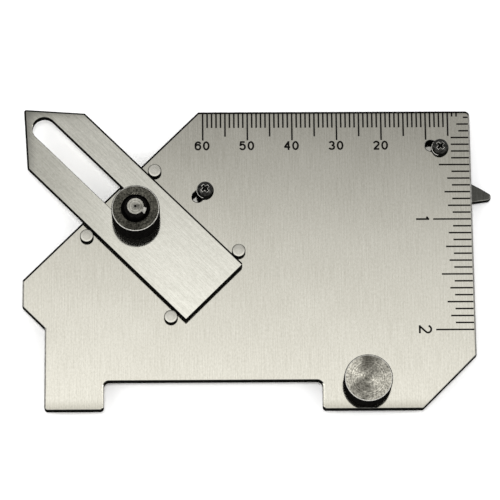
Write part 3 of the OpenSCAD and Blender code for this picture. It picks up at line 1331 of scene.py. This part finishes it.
@dataclass
class Pivot:
    """The knob, its screw and the bush that carries the cam."""

    palette: Palette
    teeth: int = 64
    tooth_depth: float = 0.1
    tooth_margins: Tuple[float, float] = (0.1, 0.15)
    shank_r: float = 1.95
    seat_gap: float = 0.05
    rim: float = 0.34
    rings: Tuple[float, ...] = (4.4, 3.6, 2.8, 2.0, 1.2, 0.5)
    dimple: float = 0.03
    # Painted shade: the face is darker at its top, lower left and middle.
    stains: Tuple[Triple, ...] = (
        (0.2, 4.0, 3.4), (0.2, 4.4, 2.4), (-1.6, -2.2, 2.6), (0.0, 0.1, 1.0),
    )

    def build(self) -> None:
        """Build the knob and dress the bush."""
        self._knob()
        bush = Seat.of("pivot_bush")
        finish = TurnedSteel(
            "bush_steel", (0.45, 0.44, 0.41), (0.68, 0.66, 0.61), bush.axis, anisotropy=0.0,
        )
        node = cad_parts["pivot_bush"]
        node.data.materials.clear()
        node.data.materials.append(finish.material())

    def _knob(self) -> None:
        """Build the knob with its screw."""
        seat = Seat.of("pivot_knob")
        seat_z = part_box("body_plate")[1][2] / MM + self.seat_gap
        faces = [(r, seat.high) for r in self.rings]
        profile = [
            (0, seat.low), (self.shank_r, seat.low), (self.shank_r, seat_z), (seat.r, seat_z),
            (seat.r, seat.high), *faces, (0, seat.high - self.dimple),
        ]
        bm = spin_profile(seat, profile, 2 * self.teeth)
        round_rims(bm, self.rim, angle=60)
        low, high = self.tooth_margins
        knurl(bm, seat, self.teeth, self.tooth_depth, seat_z + low, seat.high - high)
        ring_uv(bm, seat)
        finish = TurnedSteel(
            "knob_steel", (0.035, 0.032, 0.024), (0.54, 0.52, 0.45), seat.axis,
            roughness=(0.22, 0.3), anisotropy=0.5, stain=0.2, grit=0.5, quarter_turns=1,
            spots=self.stains,
        )
        add_piece(
            bm, "knob", "knob",
            (finish.material(), self.palette.oxide, self.palette.worn), ("pivot_knob",),
            turned_part(seat),
        )


@dataclass
class AdjustingScrews:
    """The two cross recess screws that hold the arc guide, each with its washer."""

    palette: Palette
    washer_r: float = 1.95
    washer_t: float = 0.5
    head_r: float = 1.75
    dome_r: float = 2.6
    dome_rings: int = 8
    steps: int = 48
    shank_r: float = 1.0
    rim: float = 0.1
    rim_from: float = 0.95
    cross_len: float = 2.6
    cross_w: float = 0.62
    cross_depth: float = 0.9
    taper: Point = (0.5, 0.8)
    lip: float = 0.08
    lip_within: float = 0.9
    lip_drop: float = 0.06
    recess_drop: float = 0.12
    # Painted highlight: the washer's top ring is bright where it lies this far left of the axis,
    # and black elsewhere.
    rubbed_left: float = 0.4
    turns: Tuple[float, float] = (47.0, 38.0)

    def build(self) -> None:
        """Build both screws."""
        for number, turn in enumerate(self.turns, 1):
            self._screw(number, turn)

    def _screw(self, number: int, turn: float) -> None:
        """Build a screw.

        Args:
            number: Number of the screw.
            turn: How far its recess is turned, in degrees.
        """
        node = f"guide_screw_{number}"
        seat = Seat.of(node)
        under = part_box("body_plate")[1][2] / MM
        ledge = under + self.washer_t
        profile = [
            (0, seat.low), (self.shank_r, seat.low), (self.shank_r, under),
            (self.washer_r, under), (self.washer_r, ledge), (self.head_r, ledge),
        ]

        def crown(reach: float) -> float:
            """Height of the dome at a distance from its axis."""
            return seat.high - self.dome_r + math.sqrt(max(self.dome_r ** 2 - reach ** 2, 0))

        for k in range(self.dome_rings, -1, -1):
            r = self.head_r * k / self.dome_rings
            profile.append((r, crown(r)))
        bm = spin_profile(seat, profile, self.steps)
        for arm in (turn, turn + 90):
            bm = self._cut_arm(bm, seat, arm)
        bmesh.ops.remove_doubles(bm, verts=bm.verts, dist=MERGE)

        def at_rim(at: Vector) -> bool:
            """Whether a point is outside the dome."""
            return math.dist(at.xy, seat.axis) > self.head_r * self.rim_from

        def at_lip(at: Vector) -> bool:
            """Whether a point is on the upper edge of the recess."""
            reach = math.dist(at.xy, seat.axis)
            return reach < self.head_r * self.lip_within and at.z > crown(reach) - self.lip_drop

        round_rims(bm, self.rim, angle=30, chosen=at_rim)
        for face in bm.faces:
            face.tag = False
        for face in round_rims(bm, self.lip, segments=2, angle=35, chosen=at_lip):
            face.tag = True

        def part(face: Face) -> int:
            """0 for the head, 1 for the recess and walls in black painted shade, 2 for its bright
            lip and the painted highlight on the washer.
            """
            middle = face.calc_center_median() / MM
            if face.tag:
                return 2
            if middle.z < ledge + 0.01:
                # Painted highlight on the left of the washer's ring; the rest of the washer takes
                # black painted shade.
                rubbed = face.normal.z > 0.95 and middle.x < seat.x - self.rubbed_left
                return 2 if rubbed else 1
            reach = math.dist(middle.xy, seat.axis)
            return int(middle.z < crown(reach) - self.recess_drop or face.normal.z < 0.3)

        ring_uv(bm, seat)
        add_piece(
            bm, f"screw_{number}", "gauge",
            (self.palette.blued, self.palette.wall, self.palette.worn), (node,), part,
        )

    def _cut_arm(self, head: Mesh, seat: Seat, turn: float) -> Mesh:
        """Cut one arm of the cross recess.

        Args:
            head: Screw that is cut, which is used up.
            seat: Its seat.
            turn: Direction of the arm, in degrees.

        Returns:
            The cut screw.
        """
        height = 2 * self.cross_depth
        place = Vector((seat.x, seat.y, seat.high)) * MM
        size = Matrix.Diagonal((self.cross_len * MM, self.cross_w * MM, height * MM, 1))
        bm = bmesh.new()
        bmesh.ops.create_cube(bm, size=1, matrix=size)
        low = [vert for vert in bm.verts if vert.co.z < 0]
        bmesh.ops.scale(bm, verts=low, vec=(*self.taper, 1))
        spin = Matrix.Rotation(math.radians(turn), 3, "Z")
        bmesh.ops.rotate(bm, verts=bm.verts, matrix=spin)
        bmesh.ops.translate(bm, verts=bm.verts, vec=place)
        mesh = bpy.data.meshes.new("arm")
        bm.to_mesh(mesh)
        bm.free()
        arm = bpy.data.objects.new("arm", mesh)
        bpy.context.scene.collection.objects.link(arm)
        head = through_modifier(
            head, "BOOLEAN", operation="DIFFERENCE", solver="EXACT", object=arm,
        )
        bpy.data.objects.remove(arm)
        return head


@dataclass
class ArcScale:
    """Plain marks under the arc guide, and the line on the cam that they are read against."""

    ink: Material
    first: float = 76.0
    last: float = 126.0
    steps: int = 50
    inner_r: float = 52.9
    lengths: Tuple[float, float, float] = (2.2, 3.0, 4.2)
    width: float = 0.18
    depth: float = 0.02
    line_at: float = 100.0
    line_len: float = 7.0
    line_r: float = 51.6

    def build(self) -> None:
        """Build the marks and the line."""
        pivot = Seat.of("pivot_knob")
        bm = bmesh.new()
        for k in range(self.steps + 1):
            length = self.lengths[2 if k % 10 == 0 else 1 if k % 5 == 0 else 0]
            turn = self.first + (self.last - self.first) * k / self.steps
            self._mark(bm, pivot, turn, self.inner_r, length, 0.0)
        add_piece(bm, "arc_marks", "gauge", (self.ink,))
        bm = bmesh.new()
        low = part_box("cam")[0][2] / MM
        inner = self.line_r - self.line_len
        self._mark(bm, pivot, self.line_at, inner, self.line_len, low - self.depth / 2)
        add_piece(bm, "cam_line", "cam", (self.ink,))

    def _mark(
        self, bm: Mesh, pivot: Seat, turn: float, inner: float, length: float, low: float
    ) -> None:
        """Add a mark that points at the pivot.

        Args:
            bm: Mesh of the marks.
            pivot: Seat of the pivot.
            turn: Its angle at the pivot, in degrees.
            inner: Radius of its inner end.
            length: Its length.
            low: Height of its underside.
        """
        place = Matrix.Translation(Vector((pivot.x, pivot.y, low + self.depth / 2)) * MM)
        spin = Matrix.Rotation(math.radians(turn), 4, "Z")
        out = Matrix.Translation(Vector(((inner + length / 2) * MM, 0, 0)))
        size = Matrix.Diagonal((length * MM, self.width * MM, self.depth * MM, 1))
        bmesh.ops.create_cube(bm, size=1, matrix=place @ spin @ out @ size)


@dataclass
class Studio:
    """Floor, lights, sky and camera."""

    floor_half: float = 6.0
    camera_at: Triple = (-0.01551, -0.182650, 0.65556)
    camera_forward: Triple = (0.02010, 0.27281, -0.96185)
    camera_up: Triple = (0.00450, 0.96201, 0.27296)
    lens: float = 219.53
    sensor: float = 36.0
    clip: Tuple[float, float] = (0.01, 50.0)
    lights: Tuple[Tuple[str, Triple, float, float], ...] = (
        ("softbox", (-0.05, -0.14, 1.1), 0.22, 4.8),
        ("key", (-0.75, -0.14, 0.94), 0.7, 3.0),
        ("fill", (0.75, -0.16, 0.94), 0.8, 2.5),
    )
    band_slant: float = 0.09
    band: Tuple[Point, ...] = (
        (0.0, 0.9), (0.3, 0.85), (0.42, 0.6), (0.5, 0.55), (0.57, 1.1), (0.592, 1.48),
        (0.612, 1.29), (0.635, 0.95), (0.658, 0.42), (0.672, 0.36), (0.684, 0.55), (0.7, 0.8),
        (0.735, 0.95), (0.8, 0.9), (1.0, 0.8),
    )

    def build(self) -> None:
        """Build the studio."""
        self._floor()
        self._sky()
        for light in self.lights:
            self._light(*light)
        self._camera()

    def _floor(self) -> None:
        """Lay a plain pale floor."""
        bm = bmesh.new()
        bmesh.ops.create_grid(bm, x_segments=1, y_segments=1, size=self.floor_half)
        mesh = bpy.data.meshes.new("floor")
        bm.to_mesh(mesh)
        bm.free()
        finish = PlainFinish(
            "pale_floor", (0.9, 0.9, 0.9), (0.93, 0.93, 0.93), (0.8, 0.9),
            specular=0.0, mottle=30, bump=0.0,
        )
        mesh.materials.append(finish.material())
        floor = bpy.data.objects.new("floor", mesh)
        bpy.context.scene.collection.objects.link(floor)

    def _sky(self) -> None:
        """Hang a soft bright band overhead, across the gauge, in a pale room."""
        world = bpy.data.worlds.new("studio")
        bpy.context.scene.world = world
        world.use_nodes = True
        tree = world.node_tree
        tree.nodes.clear()
        output = tree.nodes.new("ShaderNodeOutputWorld")
        room = tree.nodes.new("ShaderNodeBackground")
        where = tree.nodes.new("ShaderNodeTexCoord")
        across = tree.nodes.new("ShaderNodeVectorMath")
        across.operation = "DOT_PRODUCT"
        across.inputs[1].default_value = (self.band_slant, 1, 0)
        ramp = tree.nodes.new("ShaderNodeValToRGB")
        shift = tree.nodes.new("ShaderNodeMapRange")
        shift.inputs["From Min"].default_value = -1
        shift.inputs["From Max"].default_value = 1
        tree.links.new(where.outputs["Generated"], across.inputs[0])
        tree.links.new(across.outputs["Value"], shift.inputs["Value"])
        tree.links.new(shift.outputs[0], ramp.inputs["Fac"])
        elements = ramp.color_ramp.elements
        while len(elements) < len(self.band):
            elements.new(0.5)
        for element, (place, value) in zip(elements, self.band):
            element.position = place
            element.color = (value, value, value, 1)
        ramp.color_ramp.interpolation = "LINEAR"
        tree.links.new(ramp.outputs["Color"], room.inputs["Color"])
        tree.links.new(room.outputs[0], output.inputs["Surface"])

    def _light(self, name: str, place: Sequence[float], size: float, power: float) -> None:
        """Hang a soft box that points at the gauge.

        Args:
            name: Name of the light.
            place: Its place, in metres.
            size: Its width, in metres.
            power: Its power, in watts.
        """
        data = bpy.data.lights.new(name, "AREA")
        data.shape = "DISK"
        data.size = size
        data.energy = power
        light = bpy.data.objects.new(name, data)
        light.location = place
        light.rotation_euler = (-Vector(place)).to_track_quat("-Z", "Y").to_euler()
        bpy.context.scene.collection.objects.link(light)

    def _camera(self) -> None:
        """Set the camera at the photograph's angle."""
        data = bpy.data.cameras.new("camera")
        data.sensor_width = self.sensor
        data.lens = self.lens
        data.clip_start, data.clip_end = self.clip
        camera = bpy.data.objects.new("camera", data)
        back = -Vector(self.camera_forward).normalized()
        up = Vector(self.camera_up).normalized()
        right = up.cross(back).normalized()
        up = back.cross(right)
        turn = Matrix((right, up, back)).transposed().to_4x4()
        camera.matrix_world = Matrix.Translation(self.camera_at) @ turn
        bpy.context.scene.collection.objects.link(camera)
        bpy.context.scene.camera = camera


def main() -> None:
    """Build the pieces in order, then the studio."""
    logging.basicConfig(level=logging.INFO, format="%(name)s: %(message)s")
    palette = Palette.mixed()
    Plates(palette).build()
    Rulers(palette.ink).build()
    Clamp(palette).build()
    Pivot(palette).build()
    AdjustingScrews(palette).build()
    ArcScale(palette.ink).build()
    Studio().build()
    bpy.context.scene.view_settings.view_transform = "Standard"


if __name__ == "__main__":
    main()
